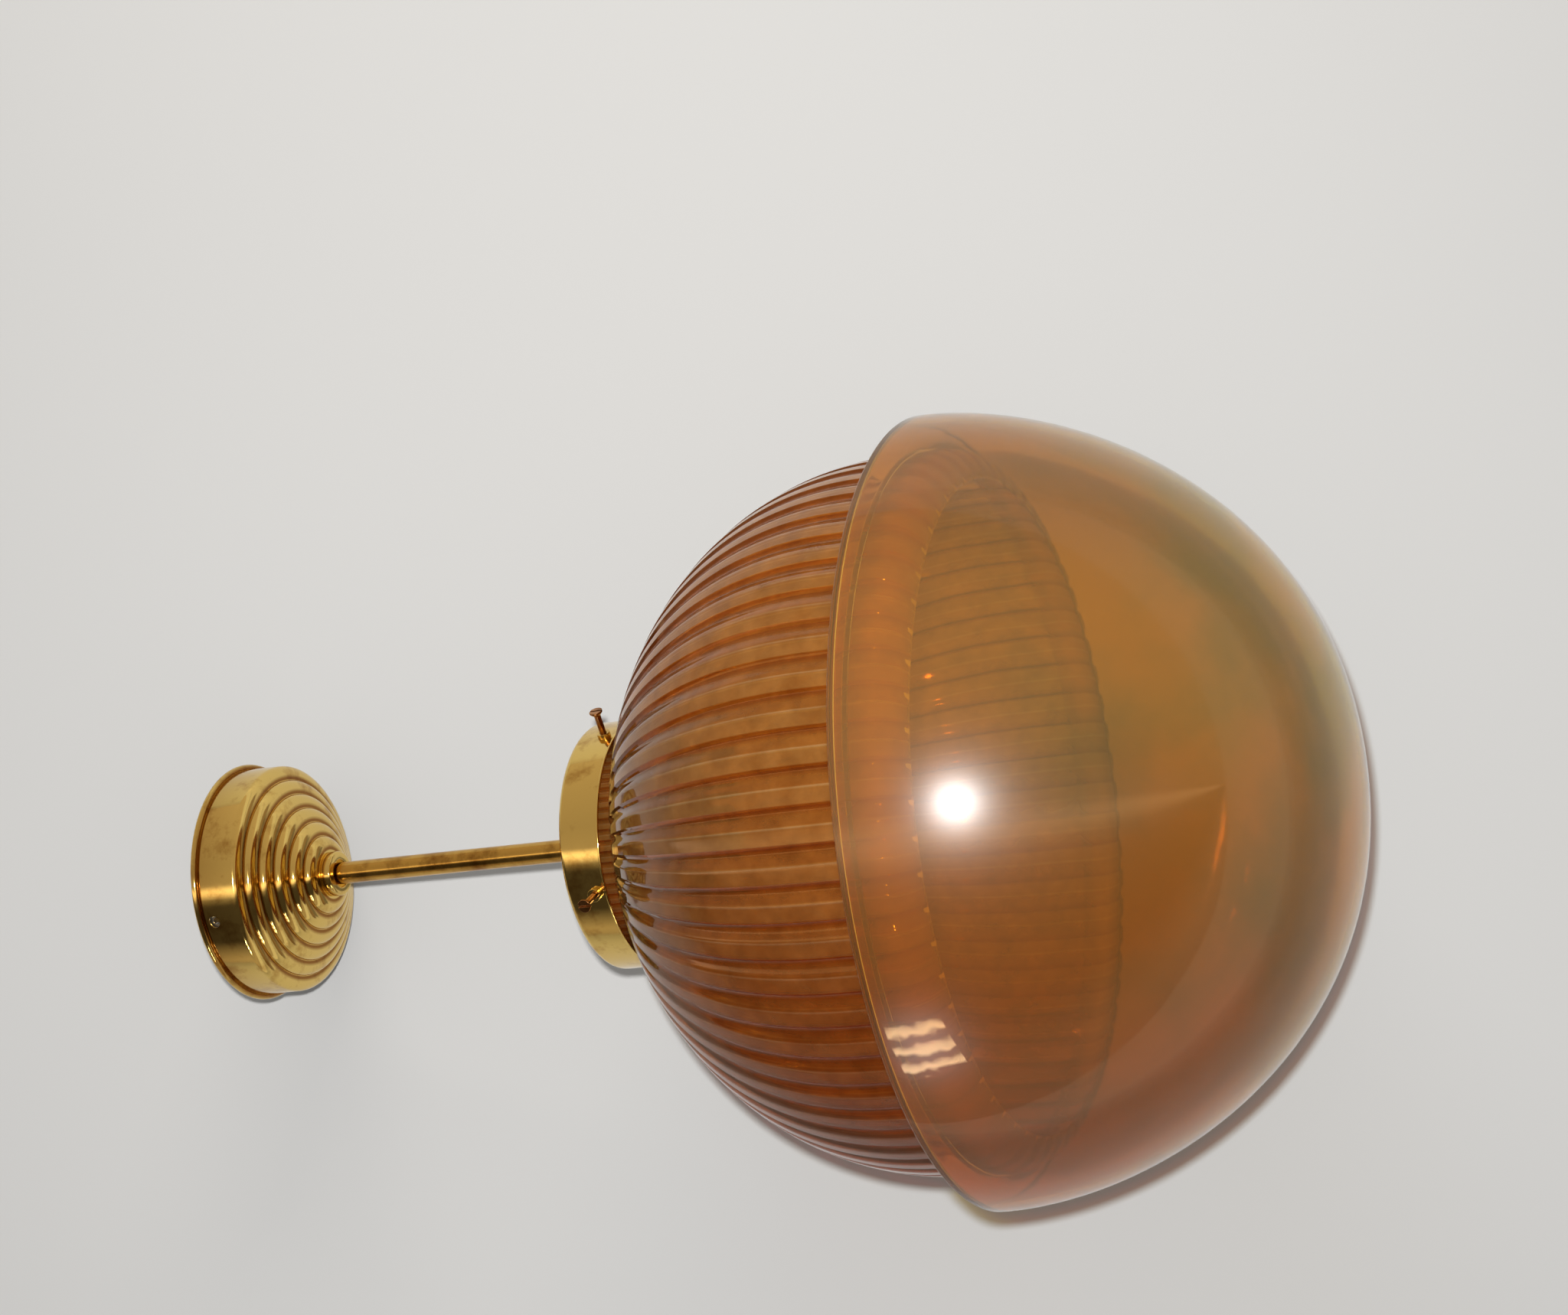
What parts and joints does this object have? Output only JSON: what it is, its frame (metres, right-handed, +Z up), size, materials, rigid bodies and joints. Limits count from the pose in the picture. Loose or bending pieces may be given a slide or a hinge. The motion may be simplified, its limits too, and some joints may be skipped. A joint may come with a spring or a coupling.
{
  "type": "pendant light",
  "caption": "Short ceiling pendant: stepped brass rose, tube stem, screw gallery, fluted amber globe open at its foot, and a plain amber bowl round it.",
  "frame": {"origin": "middle of the face that lies against the ceiling", "axes": "+Z up through the ceiling, along the light's round axis; the light hangs down along -Z; the visible fixing hole of the rose faces mostly -Y"},
  "size_m": [0.332, 0.332, 0.514],
  "materials": {
    "polished_brass": "polished, with some tarnish",
    "stem_brass": "polished tube",
    "holder_brass": "turned",
    "zinc_steel": "zinc plated",
    "porcelain": "glazed porcelain",
    "spring_steel": "bright wire",
    "brown_wire": "sleeved wire",
    "blue_wire": "sleeved wire",
    "earth_wire_green": "sleeved wire",
    "fluted_amber_glass": "pressed, fluted outside",
    "plain_amber_glass": "blown, smooth",
    "clear_cement": "clear glass cement"
  },
  "bodies": {
    "metalwork": {"rose_cup": "polished_brass", "ceiling_bracket": "zinc_steel", "earth_screw": "holder_brass", "terminal_block": "porcelain", "terminal_sleeves": "holder_brass", "terminal_screws": "zinc_steel", "block_screw": "zinc_steel", "rose_washer": "holder_brass", "earth_tag": "zinc_steel", "rose_nut": "holder_brass", "stem_collar": "polished_brass", "stem_tube": "stem_brass", "line_wire": "brown_wire", "neutral_wire": "blue_wire", "earth_wire": "earth_wire_green", "gallery_cup": "polished_brass", "gallery_bosses": "polished_brass", "gallery_washer": "holder_brass", "gallery_nut": "holder_brass", "holder_cap": "holder_brass", "holder_insulator": "porcelain", "holder_terminals": "holder_brass", "holder_terminal_screws": "zinc_steel", "spring_line": "spring_steel", "spring_neutral": "spring_steel", "holder_barrel": "holder_brass"},
    "screw_near": {"gallery_screw_near": "stem_brass"},
    "screw_upper": {"gallery_screw_upper": "stem_brass"},
    "screw_rear": {"gallery_screw_rear": "stem_brass"},
    "glass": {"fluted_globe": "fluted_amber_glass", "bowl": "plain_amber_glass", "cement_ring": "clear_cement"},
    "plunger_line": {"plunger_line": "holder_brass"},
    "plunger_neutral": {"plunger_neutral": "holder_brass"},
    "shade_ring": {"shade_ring": "holder_brass"}
  },
  "joints": [
    {"name": "screw_near_back_out", "type": "slide", "parent": "metalwork", "child": "screw_near", "axis": [-0.3584, -0.9336, 0], "range_m": [0, 0.006]},
    {"name": "screw_upper_back_out", "type": "slide", "parent": "metalwork", "child": "screw_upper", "axis": [0.866, -0.5, 0], "range_m": [0, 0.006]},
    {"name": "screw_rear_back_out", "type": "slide", "parent": "metalwork", "child": "screw_rear", "axis": [-0.342, 0.9397, 0], "range_m": [0, 0.006]},
    {"name": "glass_lower", "type": "slide", "parent": "metalwork", "child": "glass", "axis": [0, 0, -1], "range_m": [0, 0.08]},
    {"name": "plunger_line_push", "type": "slide", "parent": "metalwork", "child": "plunger_line", "axis": [0, 0, 1], "range_m": [0, 0.003], "stiffness_N_per_m": 900, "springref_m": -0.003, "deforming": ["spring_line"]},
    {"name": "plunger_neutral_push", "type": "slide", "parent": "metalwork", "child": "plunger_neutral", "axis": [0, 0, 1], "range_m": [0, 0.003], "stiffness_N_per_m": 900, "springref_m": -0.003, "deforming": ["spring_neutral"]},
    {"name": "shade_ring_down", "type": "slide", "parent": "metalwork", "child": "shade_ring", "axis": [0, 0, -1], "range_m": [0, 0.013]}
  ]
}
